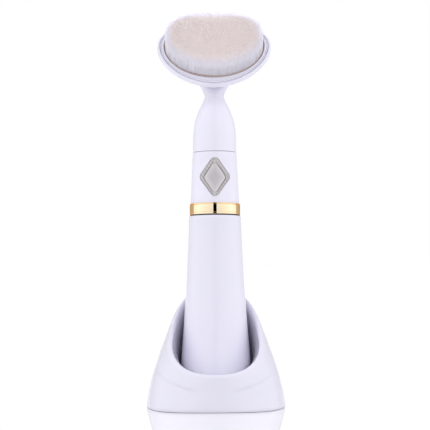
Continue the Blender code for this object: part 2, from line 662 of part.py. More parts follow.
WHITE = new_material("gloss_white_plastic", (0.80, 0.79, 0.86), 0.18)
WHITE_INSIDE = new_material("matte_white_plastic", (0.72, 0.72, 0.74), 0.5)
GREY = new_material("grey_plastic", (0.42, 0.41, 0.44), 0.35)
GOLD = new_material("polished_gold", (0.83, 0.62, 0.30), 0.12, 1.0)
COPPER = new_material("copper_brown_plastic", (0.42, 0.20, 0.12), 0.4)
BRISTLE = new_material("fine_bristles", (0.76, 0.66, 0.66), 0.75)
STEEL = new_material("plated_steel", (0.62, 0.62, 0.64), 0.28, 1.0)
BRASS = new_material("brass", (0.72, 0.52, 0.22), 0.3, 1.0)
RUBBER = new_material("soft_rubber", (0.66, 0.66, 0.70), 0.8)
BLACK = new_material("black_plastic", (0.03, 0.03, 0.035), 0.45)
BOARD = new_material("circuit_laminate", (0.02, 0.16, 0.07), 0.45)
CELL = new_material("cell_wrapper", (0.08, 0.10, 0.16), 0.35)
RED = new_material("red_insulation", (0.55, 0.03, 0.03), 0.45)

HANDLE = new_empty("handle_axis")
HANDLE.location = FOOT * MM
HANDLE.rotation_euler = (-LEAN, 0, 0)
FACE = new_empty("face_plane", HANDLE)
FACE.location = FACE_CENTRE * MM
FACE.rotation_euler = (FACE_TILT, 0, 0)

make_stand()
make_cover()
make_battery()
make_chassis()
make_band()
make_body()
make_electronics()
make_motor()
make_head_shell()
make_face()
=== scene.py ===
"""The looks of the facial cleansing brush in its stand: surfaces, bristles, materials, studio and camera.

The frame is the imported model's: metres, +Z up, the brush looks along -Y. Lengths here are millimetres and
become metres where a mesh is made. The handle's pieces are modelled on the handle's axes, with Z up the
handle from its foot, and the face's pieces on the face's axes, with Z out of the bristles.
"""

import json
import math

import bmesh
import bpy
import numpy as np
from mathutils import Matrix, Vector


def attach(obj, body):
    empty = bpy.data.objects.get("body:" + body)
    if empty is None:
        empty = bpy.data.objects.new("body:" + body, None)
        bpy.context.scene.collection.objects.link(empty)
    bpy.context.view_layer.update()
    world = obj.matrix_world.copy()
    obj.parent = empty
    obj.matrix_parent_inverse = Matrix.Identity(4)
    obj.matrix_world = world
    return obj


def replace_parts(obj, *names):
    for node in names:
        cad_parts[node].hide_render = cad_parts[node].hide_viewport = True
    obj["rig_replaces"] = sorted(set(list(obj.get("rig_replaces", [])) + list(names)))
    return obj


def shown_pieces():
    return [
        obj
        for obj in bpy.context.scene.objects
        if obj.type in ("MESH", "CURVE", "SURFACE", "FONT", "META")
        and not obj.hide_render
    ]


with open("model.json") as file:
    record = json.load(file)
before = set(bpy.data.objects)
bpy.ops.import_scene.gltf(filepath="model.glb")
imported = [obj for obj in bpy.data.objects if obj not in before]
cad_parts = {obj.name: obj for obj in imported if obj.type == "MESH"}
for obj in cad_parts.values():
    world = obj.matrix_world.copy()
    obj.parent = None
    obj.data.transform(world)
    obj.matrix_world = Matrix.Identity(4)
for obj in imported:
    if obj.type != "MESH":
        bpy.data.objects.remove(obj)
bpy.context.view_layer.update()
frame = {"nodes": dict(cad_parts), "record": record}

MM = 0.001
STEPS = 192  # points round an outside shape

LEAN = math.radians(8.0)  # the handle leans back in its stand
FOOT = Vector((0.0, 1.0, 6.0))  # where the handle's axis leaves its own foot
COVER_TOP, COVER_TOP_RADIUS, COVER_BORE, COVER_WALL = 79.2, 12.1, 10.6, 1.7
COVER_FLARE, COVER_FLARE_LENGTH, COVER_FLARE_POWER = 4.8, 76.0, 1.4
BAND_BOTTOM, BAND_TOP, BAND_RADIUS = 79.78, 84.93, 11.75
BAND_BORE, DARK_RING_BORE = 10.45, 10.7
BODY_BOTTOM, BODY_TOP = 84.95, 108.9
BODY_BOTTOM_RADIUS, BODY_TOP_RADIUS, BODY_WALL = 11.3, 10.25, 1.6
BODY_CEILING, BODY_TOP_BORE = 107.3, 7.95
HEAD_BOTTOM, NECK_HEIGHT = 109.05, 135.0
HEAD_RADIUS, NECK_RADIUS, NECK_WALL = 10.12, 4.5, 1.5
BUTTON_HEIGHT, BUTTON_DROP = 97.0, 0.4
FRAME_SIZE, FRAME_CORNER = (7.3, 10.55), 2.2
BUTTON_SIZE, BUTTON_CORNER = (5.2, 7.95), 1.3
FRAME_PROUD, BUTTON_PROUD = 0.15, 0.3
SHOULDER_START = 0.12  # the share of the way up to the neck at which the head starts to narrow

FACE_CENTRE = Vector((0.0, -0.5, 159.5))
FACE_TILT = math.radians(61.5)
RIM = (26.75, 22.7, 14.6)  # half width, reach towards the neck, reach away from it
RING = (25.2, 21.1, 13.0)
BASE = (23.0, 17.8, 11.0)
BASE_POWERS = {"near_power": 2.0, "far_power": 2.4}
CROWN = (22.9, 16.8, 13.9)
CROWN_NEAR_POWER, CROWN_FAR_POWER = 2.05, 3.0
CROWN_SCALES = (0.2, 0.5, 0.8, 0.9, 0.95, 0.985, 1.0)
CROWN_HEIGHTS = (1.035, 1.025, 1.005, 0.98, 0.93, 0.84, 0.72)  # shares of the length, at those scales
BRISTLE_LENGTH, BRISTLE_SIDE = 8.9, 0.72  # the sides are straight up to this share of the length
ROW_STEP = 0.866  # the distance between rows of a grid of triangles, over the length of their sides
HAIR_SIDES = 3
LENGTH_NOISE, SHIFT_NOISE, LEAN_NOISE = 0.06, 0.07, 0.08
LIP_DEPTH, SEAT_DEPTH, DISH_DEPTH = 2.4, 2.6, 9.0

STAND_FLOOR = 1.1
HEM = ((0.99, 0.08), (0.9965, 0.16), (0.9993, 0.45))  # (scale, height) of the hood's rings below that
BASE_HALF_WIDTH, BASE_HALF_DEPTH, BASE_MIDDLE = 31.3, 32.0, -2.8
BASE_SQUARENESS, BASE_TAPER = 3.6, -0.05
MOUTH_HALF_WIDTH, MOUTH_HALF_DEPTH, MOUTH_MIDDLE = 21.2, 26.9, -1.9
MOUTH_SQUARENESS, MOUTH_TAPER = 2.35, -0.18
MOUTH_FRONT_HEIGHT, MOUTH_SLOPE, HOOD_SWELL = 15.4, 0.67, 0.056
LIP_START, LIP_REACH_FRONT, LIP_REACH_BACK = 0.935, 1.5, 3.4
LIP_DROP_FRONT, LIP_DROP_BACK = 0.9, 5.4
CREASE_LOW, CREASE_RISE, CREASE_SPAN, CREASE_DEPTH = 8.6, 7.0, 27.0, 0.6
STAND_WALL, FUNNEL_WALL, FUNNEL_DROP = 2.0, 1.3, 0.6
CUP_FRONT, CUP_BACK, CUP_HALF_WIDTH, CUP_WALL = -16.5, 20.8, 17.6, 1.4
CUP_EDGE_FRONT, CUP_EDGE_SLOPE, CUP_EDGE_ROUND = 11.7, 0.45, 0.25
CUP_UNDERSIDE, CUP_FLOOR_MIDDLE, FOOT_CLEARANCE = 2.6, 1.6, 0.45

CAMERA_LENS, CAMERA_DISTANCE, CAMERA_AIM = 163.5, 0.9, 0.086  # the last two in metres
CAMERA_RISE, CAMERA_ROLL = math.radians(4.5), math.radians(0.33)

WORLD = Matrix.Identity(4)
HANDLE = Matrix.Translation(FOOT * MM) @ Matrix.Rotation(-LEAN, 4, "X")
FACE = HANDLE @ Matrix.Translation(FACE_CENTRE * MM) @ Matrix.Rotation(FACE_TILT, 4, "X")

RECORD = frame["record"]
SLOTS = {part["node"]: part["material_slot"] for part in RECORD["subparts"]}
BODIES = {name: body for body, names in RECORD["behaviour"]["bodies"].items() for name in names}
# Painted light: how strongly each white piece glows on its own.
GLOWS = {"battery_cover": 0.075, "body_shell": 0.11, "head_shell": 0.115, "rim_ring": 0.1}  # by CAD node


# ---------------------------------------------------------------- node materials
def node(tree, kind, inputs=(), **settings):
    """Adds a shader node. An input is a value or another node's output."""
    made = tree.nodes.new("ShaderNode" + kind)
    for name, value in settings.items():
        setattr(made, name, value)
    for name, value in dict(inputs).items():
        if isinstance(value, bpy.types.NodeSocket):
            tree.links.new(value, made.inputs[name])
        else:
            made.inputs[name].default_value = value
    return made


def calc(tree, operation, first, second=0.0):
    """The result of a sum on one value or two."""
    return node(tree, "Math", {0: first, 1: second}, operation=operation).outputs[0]


def place(tree, scale=(1.0, 1.0, 1.0)):
    """The point on the piece, in metres on its own axes, times the scale."""
    where = node(tree, "TexCoord").outputs["Object"]
    return node(tree, "Mapping", {"Vector": where, "Scale": scale}).outputs["Vector"]


def noise(tree, scale, where=None, detail=3.0, rough=0.5):
    inputs = {"Vector": where or place(tree), "Scale": scale, "Detail": detail, "Roughness": rough}
    return node(tree, "TexNoise", inputs).outputs["Fac"]


def spread(tree, value, low, high, start=0.3, end=0.7):
    """Takes the value's start to low and its end to high."""
    inputs = {"Value": value, "From Min": start, "From Max": end, "To Min": low, "To Max": high}
    return node(tree, "MapRange", inputs).outputs["Result"]


def blend(tree, share, first, second):
    """A colour between two colours."""
    made = node(tree, "Mix", data_type="RGBA")
    for socket, value in ((made.inputs[0], share), (made.inputs[6], first), (made.inputs[7], second)):
        if isinstance(value, bpy.types.NodeSocket):
            tree.links.new(value, socket)
        else:
            socket.default_value = (*value, 1.0) if isinstance(value, tuple) else value
    return made.outputs[2]


def bump(tree, height, distance, strength, over=None):
    inputs = {"Height": height, "Distance": distance * MM, "Strength": strength}
    if over:
        inputs["Normal"] = over
    return node(tree, "Bump", inputs).outputs["Normal"]


def surface(name, **settings):
    """A new node material as (tree, its Principled BSDF)."""
    made = bpy.data.materials.new(name)
    made.use_nodes = True
    shader = made.node_tree.nodes["Principled BSDF"]
    for label, value in settings.items():
        shader.inputs[label.replace("_", " ")].default_value = value
    return made.node_tree, shader


def connect(tree, shader, **sockets):
    for label, value in sockets.items():
        tree.links.new(value, shader.inputs[label.replace("_", " ")])


def material(tree):
    return next(made for made in bpy.data.materials if made.node_tree == tree)


def moulded(name, colour, other, rough, grain, relief):
    """Moulded plastic: a soft drift of tint, uneven gloss, the faint waviness of moulding and a fine grain.

    A piece's "glow" is painted light: an emission that lifts the plastic's shaded parts, standing in for the
    light that white plastic scatters inside itself.
    """
    tree, shader = surface(name)
    drift = noise(tree, 45.0, detail=2.0)
    speckle = noise(tree, grain, detail=2.0)
    wave = noise(tree, 160.0, detail=1.0)
    colours = blend(tree, spread(tree, drift, 0.0, 1.0), colour, other)
    gloss = spread(tree, noise(tree, 260.0), rough * 0.95, rough * 1.08)
    normal = bump(tree, wave, 0.0012, 0.2)
    normal = bump(tree, speckle, relief, 0.2, normal)
    glow = node(tree, "Attribute", attribute_type="OBJECT", attribute_name="glow").outputs["Fac"]
    connect(tree, shader, Base_Color=colours, Roughness=gloss, Normal=normal)
    # Painted light: the plastic glows a little on its own, as strongly as the piece's glow.
    connect(tree, shader, Emission_Color=colours, Emission_Strength=glow)
    return tree, shader


def brushed(name, colour, rough, stretch, scale, relief, drop=0.86):
    """Metal with fine scratches along one way. Its tint darkens in places to the drop."""
    tree, shader = surface(name, Metallic=1.0)
    scratch = noise(tree, scale, place(tree, stretch), 4.0, 0.65)
    drift = noise(tree, 120.0)
    darker = tuple(part * drop for part in colour)
    colours = blend(tree, spread(tree, drift, 0.0, 1.0), colour, darker)
    gloss = spread(tree, scratch, rough * 0.75, rough * 1.35)
    normal = bump(tree, scratch, relief, 0.6)
    connect(tree, shader, Base_Color=colours, Roughness=gloss, Normal=normal)
    return tree, shader


def shade_corners(tree):
    """Paints shade into the plastic's colour in its corners, and dims its glow there, where little light gets
    in.
    """
    shader = tree.nodes["Principled BSDF"]
    colours = shader.inputs["Base Color"].links[0].from_socket
    glow = shader.inputs["Emission Strength"].links[0].from_socket
    open_sky = node(tree, "AmbientOcclusion", {"Distance": 9.0 * MM}, samples=8).outputs["AO"]
    closed = spread(tree, open_sky, 1.0, 0.0, 0.25, 0.8)
    # Painted shade: the base colour turns to a darker tone where the occlusion is high.
    deep = blend(tree, closed, colours, (0.7, 0.686, 0.795))
    connect(tree, shader, Base_Color=deep, Emission_Strength=calc(tree, "MULTIPLY", glow, open_sky))


def polished():
    """Polished gold plate, with painted shade: a deeper, darker tone painted where it turns away from the
    view.
    """
    tree, shader = brushed("polished_gold", (1.0, 0.85, 0.60), 0.03, (1.0, 1.0, 60.0), 90.0, 0.0002, 0.97)
    front = shader.inputs["Base Color"].links[0].from_socket
    # Painted shade: the gold's colour darkens where the surface turns away from the view.
    turned_away = node(tree, "LayerWeight", {"Blend": 0.5}).outputs["Facing"]
    deep = spread(tree, turned_away, 0.0, 1.0, 0.3, 0.55)
    connect(tree, shader, Base_Color=blend(tree, deep, front, (0.93, 0.68, 0.42)))
    shader.inputs["Specular Tint"].default_value = (0.95, 0.66, 0.36, 1.0)
    return tree


def grained():
    """Satin grey plastic: the button is painted paler towards its edge as a painted highlight on its bevel,
    and its frame has a fine slanting grain.
    """
    tree, shader = moulded("grey_plastic", (0.54, 0.51, 0.54), (0.505, 0.48, 0.51), 0.42, 4200.0, 0.004)
    tone = shader.inputs["Base Color"].links[0].from_socket
    spot = node(tree, "SeparateXYZ", {"Vector": place(tree)}).outputs
    middle = (BUTTON_HEIGHT - BUTTON_DROP) * MM
    across = calc(tree, "DIVIDE", calc(tree, "ABSOLUTE", spot["X"]), BUTTON_SIZE[0] * MM)
    up = calc(tree, "ABSOLUTE", calc(tree, "SUBTRACT", spot["Z"], middle))
    up = calc(tree, "DIVIDE", up, BUTTON_SIZE[1] * MM)
    reach = calc(tree, "ADD", across, up)  # 1 along the button's edge
    # Painted highlight: the button's colour pales towards its bevelled edge.
    tone = blend(tree, spread(tree, reach, 0.0, 1.0, 0.4, 0.92), tone, (0.64, 0.615, 0.64))
    turn = {"Vector": place(tree), "Rotation": (0.0, math.radians(38), 0.0)}
    slant = node(tree, "Mapping", turn).outputs["Vector"]
    lines = {"Vector": slant, "Scale": 210.0, "Distortion": 1.2, "Detail": 1.0}
    grain = node(tree, "TexWave", lines).outputs["Fac"]
    dark = blend(tree, grain, (0.40, 0.375, 0.385), (0.55, 0.52, 0.53))
    framed = spread(tree, reach, 0.0, 1.0, 1.0, 1.06)
    connect(tree, shader, Base_Color=blend(tree, framed, tone, dark))
    return tree


def laminate():
    """Green circuit laminate with lighter tracks and tinned pads under its lacquer."""
    tree, shader = surface("circuit_laminate")
    grid = {"Vector": place(tree, (1.0, 1.0, 0.45)), "Scale": 420.0, "Mortar Size": 0.035}
    tracks = node(tree, "TexBrick", grid).outputs["Fac"]
    pads = node(tree, "TexVoronoi", {"Vector": place(tree), "Scale": 330.0, "Randomness": 0.35})
    pad = spread(tree, pads.outputs["Distance"], 1.0, 0.0, 0.16, 0.2)
    weave = noise(tree, 1400.0)
    board = blend(tree, weave, (0.012, 0.115, 0.05), (0.02, 0.16, 0.075))
    board = blend(tree, tracks, board, (0.05, 0.27, 0.12))
    colours = blend(tree, pad, board, (0.62, 0.60, 0.55))
    normal = bump(tree, tracks, 0.03, 0.6)
    connect(tree, shader, Base_Color=colours, Metallic=pad, Normal=normal)
    connect(tree, shader, Roughness=spread(tree, weave, 0.3, 0.5))
    return tree


def wrapper():
    """The cell's printed sleeve: dark blue, a copper band at the plus end and thin pale lines."""
    tree, shader = surface("cell_wrapper")
    height = node(tree, "SeparateXYZ", {"Vector": place(tree)}).outputs["Z"]
    ramp = node(tree, "ValToRGB", {"Fac": spread(tree, height, 0.0, 1.0, 0.0162, 0.0654)})
    ramp.color_ramp.interpolation = "CONSTANT"
    stops = ((0.0, (0.5, 0.5, 0.52)), (0.02, (0.02, 0.045, 0.13)), (0.13, (0.62, 0.63, 0.66)))
    stops += ((0.145, (0.02, 0.045, 0.13)), (0.70, (0.62, 0.63, 0.66)), (0.715, (0.50, 0.23, 0.10)))
    for position, colour in stops[1:]:
        ramp.color_ramp.elements.new(position)
    elements = sorted(ramp.color_ramp.elements, key=lambda element: element.position)
    for element, (position, colour) in zip(elements, stops):
        element.position = position
        element.color = (*colour, 1.0)
    scuff = noise(tree, 700.0, place(tree, (1.0, 1.0, 0.2)))
    colours = blend(tree, spread(tree, scuff, 0.0, 0.12), ramp.outputs["Color"], (0.5, 0.5, 0.5))
    normal = bump(tree, scuff, 0.006, 0.5)
    connect(tree, shader, Base_Color=colours, Roughness=spread(tree, scuff, 0.2, 0.4), Normal=normal)
    return tree


def fibres():
    """Fine nylon: bluish white along its length and warm at the tips, with the tips left white round the edge
    of the face; its glow there and all over is painted light.
    """
    tree, shader = surface("fine_bristles", Roughness=0.5)
    along = node(tree, "Attribute", attribute_name="along").outputs["Fac"]
    edge = node(tree, "Attribute", attribute_name="edge").outputs["Fac"]
    tint = node(tree, "Attribute", attribute_name="tint").outputs["Fac"]
    clump = noise(tree, 700.0, place(tree, (1.0, 1.0, 0.12)))
    warm = blend(tree, tint, (0.91, 0.83, 0.825), (0.97, 0.915, 0.91))
    pale = blend(tree, tint, (0.90, 0.885, 0.95), (0.97, 0.955, 1.0))
    shade = blend(tree, spread(tree, clump, 0.0, 0.6, 0.35, 0.65), pale, (0.81, 0.795, 0.875))
    tip = spread(tree, along, 0.0, 1.0, 0.72, 0.96)
    tip = calc(tree, "MULTIPLY", tip, spread(tree, edge, 0.0, 1.0, 0.9, 3.4))
    colours = blend(tree, tip, shade, warm)
    normal = bump(tree, clump, 0.03, 0.4)
    # Painted light: the fibres glow a little all over, more towards their tips and the edge of the face, and
    # most in the thin fringe along the far side, standing in for light the clear nylon carries.
    depth = node(tree, "SeparateXYZ", {"Vector": place(tree)}).outputs["Y"]
    thin = spread(tree, edge, 1.0, 0.0, 1.2, 2.6)
    far = spread(tree, depth, 0.0, 1.0, -0.004, 0.006)
    fringe = spread(tree, calc(tree, "MULTIPLY", thin, far), 0.0, 0.1, 0.0, 1.0)
    lit = calc(tree, "ADD", spread(tree, edge, 0.09, 0.0, 0.0, 6.0), fringe)
    lit = calc(tree, "MULTIPLY", lit, spread(tree, along, 0.0, 1.0, 0.5, 0.98))
    connect(tree, shader, Base_Color=colours, Normal=normal)
    connect(tree, shader, Emission_Color=colours, Emission_Strength=calc(tree, "ADD", lit, 0.085))
    return tree


# Of the plain mouldings: colour, the tint it drifts to, roughness, scale of the grain and its relief.
MOULDED = {
    "gloss_white_plastic": ((0.75, 0.735, 0.85), (0.743, 0.729, 0.845), 0.24, 5200.0, 0.0006),
    "matte_white_plastic": ((0.72, 0.72, 0.74), (0.68, 0.68, 0.71), 0.5, 3600.0, 0.004),
    "black_plastic": ((0.028, 0.028, 0.032), (0.04, 0.04, 0.044), 0.42, 3000.0, 0.012),
    "copper_brown_plastic": ((0.58, 0.39, 0.30), (0.66, 0.46, 0.37), 0.38, 2600.0, 0.01),
    "soft_rubber": ((0.68, 0.68, 0.72), (0.64, 0.64, 0.69), 0.7, 2400.0, 0.01),
    "red_insulation": ((0.55, 0.03, 0.03), (0.48, 0.025, 0.025), 0.42, 2000.0, 0.008),
}


def make_materials():
    made = {name: moulded(name, *look)[0] for name, look in MOULDED.items()}
    shade_corners(made["gloss_white_plastic"])
    for name, colour, rough in (
        ("plated_steel", (0.62, 0.62, 0.64), 0.28),
        ("brass", (0.78, 0.58, 0.26), 0.27),
    ):
        made[name] = brushed(name, colour, rough, (1.0, 1.0, 22.0), 260.0, 0.004)[0]
    made["polished_gold"] = polished()
    made["grey_plastic"] = grained()
    made["circuit_laminate"] = laminate()
    made["cell_wrapper"] = wrapper()
    made["fine_bristles"] = fibres()
    return {name: material(tree) for name, tree in made.items()}


# ---------------------------------------------------------------- mesh makers
def mesh_from(bm, name, sharp=35):
    mesh = bpy.data.meshes.new(name)
    bmesh.ops.recalc_face_normals(bm, faces=bm.faces)
    bm.to_mesh(mesh)
    bm.free()
    mesh.shade_smooth()
    mesh.set_sharp_from_angle(angle=math.radians(sharp))
    return mesh


def add_piece(name, mesh, axes, *nodes):
    """A piece on those axes that stands for the CAD nodes and rides on their body."""
    piece = bpy.data.objects.new(name, mesh)
    bpy.context.scene.collection.objects.link(piece)
    piece.matrix_world = axes
    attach(piece, BODIES[nodes[0]])
    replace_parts(piece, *nodes)
    mesh.materials.append(MATERIALS[SLOTS[nodes[0]]])
    piece["glow"] = GLOWS.get(nodes[0], 0.0)
    return piece


def fit_detail(name, mesh, axes, body, slot):
    """A small extra piece that stands for no CAD node."""
    piece = bpy.data.objects.new(name, mesh)
    bpy.context.scene.collection.objects.link(piece)
    piece.matrix_world = axes
    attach(piece, body)
    mesh.materials.append(MATERIALS[slot])


def loft(name, rings, ends="JOIN"):
    """Skins rings of equal length. The ends are CAP, or JOIN, which runs the last ring into the first."""
    bm = bmesh.new()
    loops = [[bm.verts.new(Vector(point) * MM) for point in ring] for ring in rings]
    pairs = list(zip(loops, loops[1:]))
    if ends == "JOIN":
        pairs.append((loops[-1], loops[0]))
    if ends == "CAP":
        bm.faces.new(loops[0])
        bm.faces.new(loops[-1])
    for lower, upper in pairs:
        for i in range(len(lower)):
            j = (i + 1) % len(lower)
            bm.faces.new((lower[i], lower[j], upper[j], upper[i]))
    return mesh_from(bm, name)


def rounded(points, steps=4):
    """A closed profile of (radius, height) from (radius, height, setback), with its corners rounded."""
    profile = []
    for i, (radius, height, setback) in enumerate(points):
        here = Vector((radius, height))
        before = Vector(points[i - 1][:2]) - here
        after = Vector(points[(i + 1) % len(points)][:2]) - here
        if not setback:
            profile.append(here)
            continue
        start = here + before.normalized() * min(setback, before.length * 0.49)
        end = here + after.normalized() * min(setback, after.length * 0.49)
        for step in range(steps + 1):
            t = step / steps
            profile.append(start * (1 - t) ** 2 + here * 2 * t * (1 - t) + end * t * t)
    return profile


def circle(radius, height):
    points = []
    for i in range(STEPS):
        angle = 2 * math.pi * i / STEPS
        points.append(Vector((radius * math.cos(angle), radius * math.sin(angle), height)))
    return points


def turned(name, profile):
    return loft(name, [circle(radius, height) for radius, height in profile])


def refined(name, edge, axes=HANDLE):
    """A CAD node's shape as a new piece, with welded points, smooth sides and small rounded edges."""
    bm = bmesh.new()
    bm.from_mesh(frame["nodes"][name].data)
    bmesh.ops.transform(bm, matrix=axes.inverted(), verts=bm.verts)
    bmesh.ops.remove_doubles(bm, verts=bm.verts, dist=1e-6)
    bmesh.ops.dissolve_limit(bm, angle_limit=math.radians(0.5), verts=bm.verts, edges=bm.edges)
    for face in bm.faces:
        face.material_index = 0
    mesh = mesh_from(bm, name + "_surface", 30)
    if "custom_normal" in mesh.attributes:
        mesh.attributes.remove(mesh.attributes["custom_normal"])
    mesh.materials.clear()
    piece = add_piece(name + "_surface", mesh, axes, name)
    if edge:
        bevel = piece.modifiers.new("edges", "BEVEL")
        bevel.width = edge * MM
        bevel.segments = 2
        bevel.limit_method = "ANGLE"
        bevel.angle_limit = math.radians(40)


# ---------------------------------------------------------------- outlines and profiles
def power_of(value, power):
    return math.copysign(abs(value) ** (2 / power), value)


def egg_outline(half_width, half_depth, taper=0.0, power=2.0):
    points = []
    for i in range(STEPS):
        angle = 2 * math.pi * i / STEPS
        along = power_of(math.sin(angle), power)
        across = power_of(math.cos(angle), power)
        points.append((half_width * across * (1 + taper * along), half_depth * along))
    return points


def face_point(size, angle, grow=0.0, near_power=1.85, far_power=2.1, scale=1.0):
    half_width, near, far = (length + grow for length in size)
    upward = math.sin(angle) >= 0
    x = half_width * power_of(math.cos(angle), far_power if upward else near_power)
    y = (far if upward else near) * power_of(math.sin(angle), far_power if upward else near_power)
    return x * scale, y * scale


def face_outline(size, **shape):
    """(x, y) points round the face: it tapers towards the neck and is broad and blunt away from it."""
    return [face_point(size, 2 * math.pi * i / STEPS, **shape) for i in range(STEPS)]


def on_handle(outline, height):
    turn = Matrix.Rotation(FACE_TILT, 3, "X")
    return [FACE_CENTRE + turn @ Vector((x, y, height)) for x, y in outline]


def cover_radius(height):
    down = (COVER_TOP - height) / COVER_FLARE_LENGTH
    return COVER_TOP_RADIUS + COVER_FLARE * max(0.0, down) ** COVER_FLARE_POWER


def body_radius(height):
    up = (height - BODY_BOTTOM) / (BODY_TOP - BODY_BOTTOM)
    return BODY_BOTTOM_RADIUS + (BODY_TOP_RADIUS - BODY_BOTTOM_RADIUS) * up


def shoulder_radius(height):
    up = (height - HEAD_BOTTOM) / (NECK_HEIGHT - HEAD_BOTTOM)
    fall = max(0.0, (up - SHOULDER_START) / (1 - SHOULDER_START))
    eased = (fall**5 * (6 - 5 * fall) + fall**2) / 2
    return HEAD_RADIUS - (HEAD_RADIUS - NECK_RADIUS) * eased


def heights(start, end, count):
    return [start + (end - start) * i / (count - 1) for i in range(count)]


# ---------------------------------------------------------------- stand
def crease(x, y, height):
    """How far the front drops back below the faint curved crease under the mouth."""
    if y > 0:
        return 0.0
    line = CREASE_LOW + CREASE_RISE * (x / CREASE_SPAN) ** 2
    side = min(1.0, max(0.0, (abs(x) - 4.0) / 9.0))
    below = min(1.0, max(0.0, (line + 1.0 - height) / 2.0))
    low = min(1.0, max(0.0, height / 7.0))
    return CREASE_DEPTH * side * low * below * below * (3 - 2 * below)


def mouth_height(depth):
    return MOUTH_FRONT_HEIGHT + MOUTH_SLOPE * (depth - (MOUTH_MIDDLE - MOUTH_HALF_DEPTH))


def cup_edge(depth):
    return CUP_EDGE_FRONT + CUP_EDGE_SLOPE * (depth - CUP_FRONT)


def cup_outline(grow=0.0, back=CUP_BACK):
    middle, half_depth = (CUP_FRONT + back) / 2, (back - CUP_FRONT) / 2
    return [(x, y + middle) for x, y in egg_outline(CUP_HALF_WIDTH + grow, half_depth + grow)]


def mouth_outline(inset=0.0):
    outline = egg_outline(MOUTH_HALF_WIDTH - inset, MOUTH_HALF_DEPTH - inset, MOUTH_TAPER, MOUTH_SQUARENESS)
    return [(x, y + MOUTH_MIDDLE) for x, y in outline]


def hood_ring(share, inset=0.0):
    """One ring of the hood, from the base's outline (share 0) to the slanting mouth (share 1)."""
    size = (BASE_HALF_WIDTH - inset, BASE_HALF_DEPTH - inset)
    ring = []
    for (x, y), (top_x, top_y) in zip(egg_outline(*size, BASE_TAPER, BASE_SQUARENESS), mouth_outline(inset)):
        point = Vector((x, y + BASE_MIDDLE, STAND_FLOOR))
        point = point.lerp(Vector((top_x, top_y, mouth_height(top_y))), share)
        point.x *= 1 + HOOD_SWELL * math.sin(math.pi * share)
        if not inset:
            point.y += crease(*point)
        ring.append(point)
    return ring


def back_share(y):
    """How far back in the mouth a point lies, eased: 0 at the front and 1 at the back."""
    share = (y - MOUTH_MIDDLE + MOUTH_HALF_DEPTH) / (2 * MOUTH_HALF_DEPTH)
    return min(1.0, max(0.0, share)) ** 1.5


def lip_drop(y):
    """How far the lip rolls down inside the mouth: crisp at the front and a wide roll at the back."""
    return LIP_DROP_FRONT + (LIP_DROP_BACK - LIP_DROP_FRONT) * back_share(y)


def inner_edge(grow=0.0):
    """Points where the lip ends inside the mouth."""
    near, far = mouth_outline(LIP_REACH_FRONT - grow), mouth_outline(LIP_REACH_BACK - grow)
    ring = []
    for (x, y), (far_x, far_y) in zip(near, far):
        share = back_share(y)
        y += (far_y - y) * share
        ring.append(Vector((x + (far_x - x) * share, y, mouth_height(y) - lip_drop(y))))
    return ring


def lip_rings(count):
    """The lip as a curve from the hood over to the inside, in line with both."""
    before, start, end = hood_ring(LIP_START - 0.01), hood_ring(LIP_START), inner_edge()
    rings = [[] for _ in range(count)]
    for low, outside, inside in zip(before, start, end):
        way = (outside - low).normalized()
        out_fall = mouth_height(outside.y) - outside.z
        in_fall = mouth_height(inside.y) - inside.z
        over = (out_fall + in_fall) / 6
        out_pull = outside + way * ((out_fall + over) / way.z)
        in_pull = inside + Vector((0, 0, in_fall + over))
        for step, ring in enumerate(rings, 1):
            t = step / (count + 1)
            outer = outside * (1 - t) ** 3 + out_pull * 3 * t * (1 - t) ** 2
            ring.append(outer + in_pull * 3 * t * t * (1 - t) + inside * t**3)
    return rings


def funnel_ring(share, grow=0.0):
    """One ring of the funnel, from inside the lip (share 0) down to the cup's edge (share 1)."""
    ring = []
    for start, (x, y) in zip(inner_edge(grow), cup_outline(grow)):
        end = Vector((x, y, cup_edge(y) + 0.3))
        bend = Vector((start.x, start.y, start.z + (end.z - start.z) * FUNNEL_DROP))
        ring.append(start * (1 - share) ** 2 + bend * 2 * share * (1 - share) + end * share**2)
    return ring


def make_stand():
    """The hood with its rolled lip and the funnel inside it, the cup below it and the pieces underneath."""
    foot = hood_ring(0.0)
    rings = []
    for scale, height in HEM:
        ring = [(x * scale, (y - BASE_MIDDLE) * scale + BASE_MIDDLE, height) for x, y, _ in foot]
        rings.append([Vector(point) for point in ring])
    rings += [hood_ring(share) for share in heights(0.012, LIP_START, 68)]
    rings += lip_rings(26)
    rings += [funnel_ring(share) for share in heights(0.0, 1.0, 36)]
    rings += [funnel_ring(share, FUNNEL_WALL) for share in heights(1.0, 0.4, 8)]
    rings += [hood_ring(share, STAND_WALL) for share in heights(0.6, 0.0, 8)]
    add_piece("hood", loft("hood", rings), WORLD, "stand_shell")

    make_cup()
    for name in ("stand_base_plate", "stand_pad", "stand_screw_left", "stand_screw_right"):
        refined(name, 0.1, WORLD)


def make_cup():
    """The cup the handle's foot stands in. Its floor is square to the leaning handle."""

    def at(outline, height):
        return [(x, y, height(y)) for x, y in outline]

    def disc(radius):
        return [(x, y + CUP_FLOOR_MIDDLE) for x, y in egg_outline(radius, radius)]

    def floor(depth):
        return FOOT.z - FOOT_CLEARANCE - math.tan(LEAN) * (depth - FOOT.y)

    rings = [
        at(disc(16.4), lambda depth: CUP_UNDERSIDE),
        at(cup_outline(CUP_WALL, CUP_BACK - 2.0), lambda depth: 6.0),
        at(cup_outline(CUP_WALL), lambda depth: cup_edge(depth) - CUP_EDGE_ROUND),
        at(cup_outline(CUP_WALL - CUP_EDGE_ROUND), cup_edge),
        at(cup_outline(CUP_EDGE_ROUND), cup_edge),
        at(cup_outline(), lambda depth: cup_edge(depth) - CUP_EDGE_ROUND),
        at(cup_outline(0.0, CUP_BACK - 2.0), lambda depth: floor(depth) + 2.3),
        at(disc(15.3), floor),
    ]
    add_piece("cup", loft("cup", rings, "CAP"), WORLD, "stand_cup")


